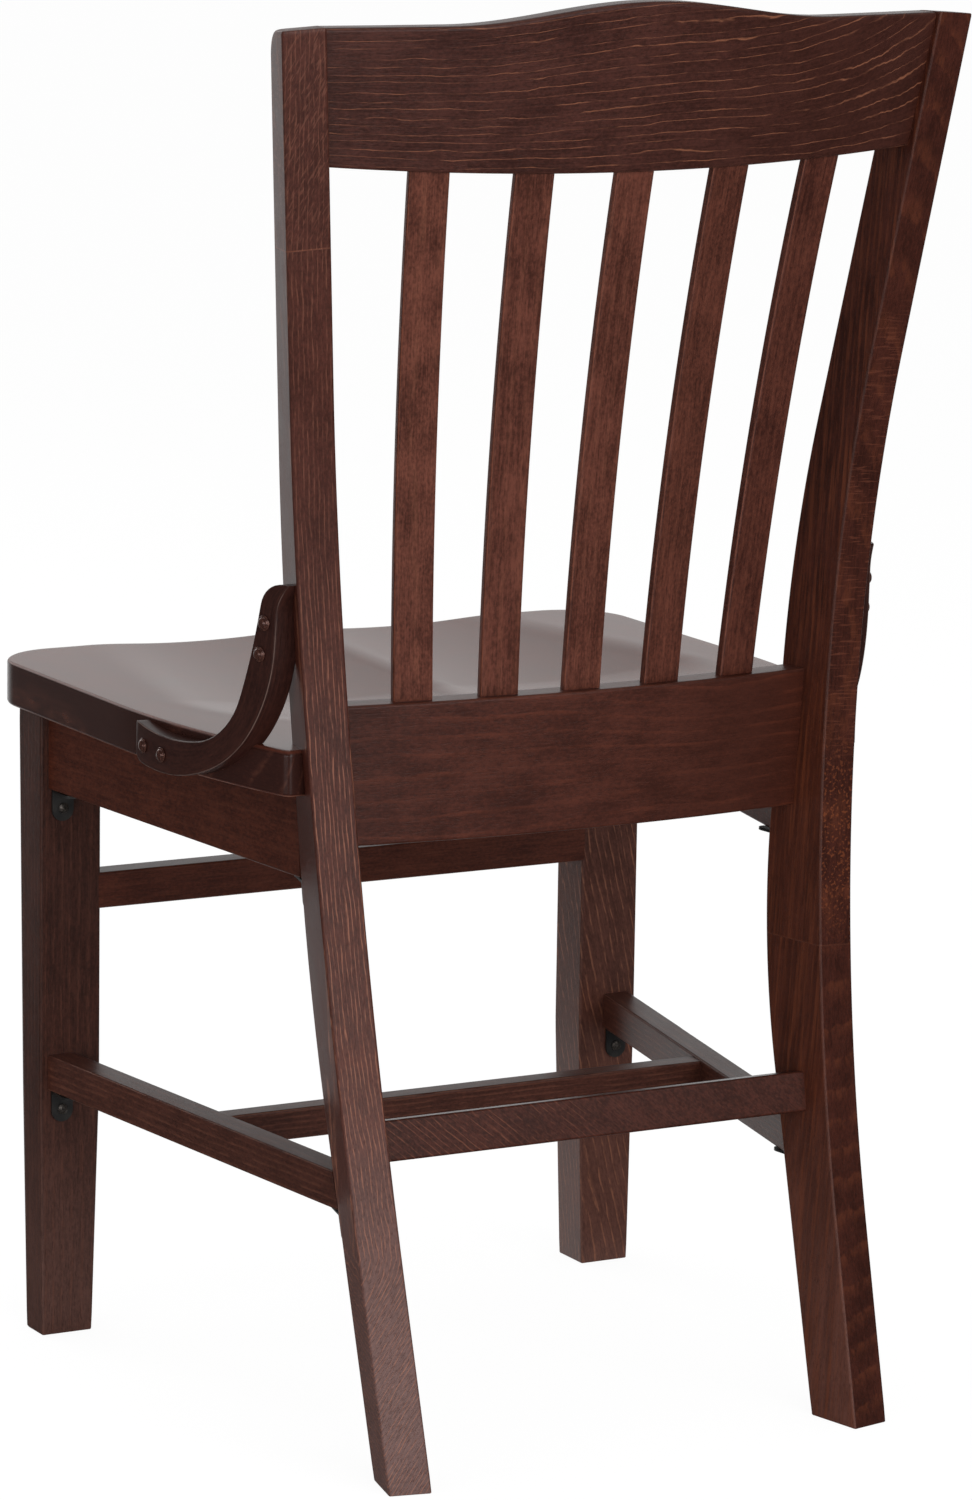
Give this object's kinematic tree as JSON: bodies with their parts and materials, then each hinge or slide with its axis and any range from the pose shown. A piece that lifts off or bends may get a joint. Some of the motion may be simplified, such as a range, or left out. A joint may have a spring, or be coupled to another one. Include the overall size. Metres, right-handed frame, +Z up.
{
  "type": "schoolhouse chair",
  "caption": "Wooden side chair with a bowed crest rail, tall raked back slats, a saddled seat, bent hip braces and stretchers between its splayed legs.",
  "frame": {"origin": "on the floor, under the middle of the chair's overall box", "axes": "+X towards the sitter's left, +Y towards the back of the chair, +Z up"},
  "size_m": [0.4788, 0.489, 0.8985],
  "materials": {
    "stained_wood": "dark red-brown stain under a satin clear coat",
    "seat_wood": "dark red-brown stain under a satin clear coat",
    "inner_wood": "bare sawn wood",
    "black_steel": "black coating, satin",
    "screw_black": "black finish, satin",
    "screw_brown": "brown antique finish, polished domes"
  },
  "bodies": {
    "root": {"rear_leg_left": "stained_wood", "rear_leg_right": "stained_wood", "front_leg_left": "stained_wood", "front_leg_right": "stained_wood", "crest_rail": "stained_wood", "back_slat_1": "stained_wood", "back_slat_2": "stained_wood", "back_slat_3": "stained_wood", "back_slat_4": "stained_wood", "back_slat_5": "stained_wood", "rear_seat_rail": "stained_wood", "seat": "seat_wood", "side_apron_left": "stained_wood", "side_apron_right": "stained_wood", "front_apron": "stained_wood", "front_bar": "stained_wood", "side_stretcher_left": "stained_wood", "side_stretcher_right": "stained_wood", "cross_stretcher": "stained_wood", "rear_stretcher": "stained_wood", "hip_brace_left": "stained_wood", "hip_brace_right": "stained_wood", "brace_screws": "screw_brown", "apron_bracket_front_left": "black_steel", "apron_bracket_front_right": "black_steel", "apron_bracket_rear_left": "black_steel", "apron_bracket_rear_right": "black_steel", "stretcher_bracket_front_left": "black_steel", "stretcher_bracket_front_right": "black_steel", "stretcher_bracket_rear_left": "black_steel", "stretcher_bracket_rear_right": "black_steel", "bracket_screws": "screw_black", "corner_block_front_left": "inner_wood", "corner_block_front_right": "inner_wood", "corner_block_rear_left": "inner_wood", "corner_block_rear_right": "inner_wood", "seat_screws": "screw_black"}
  },
  "joints": []
}
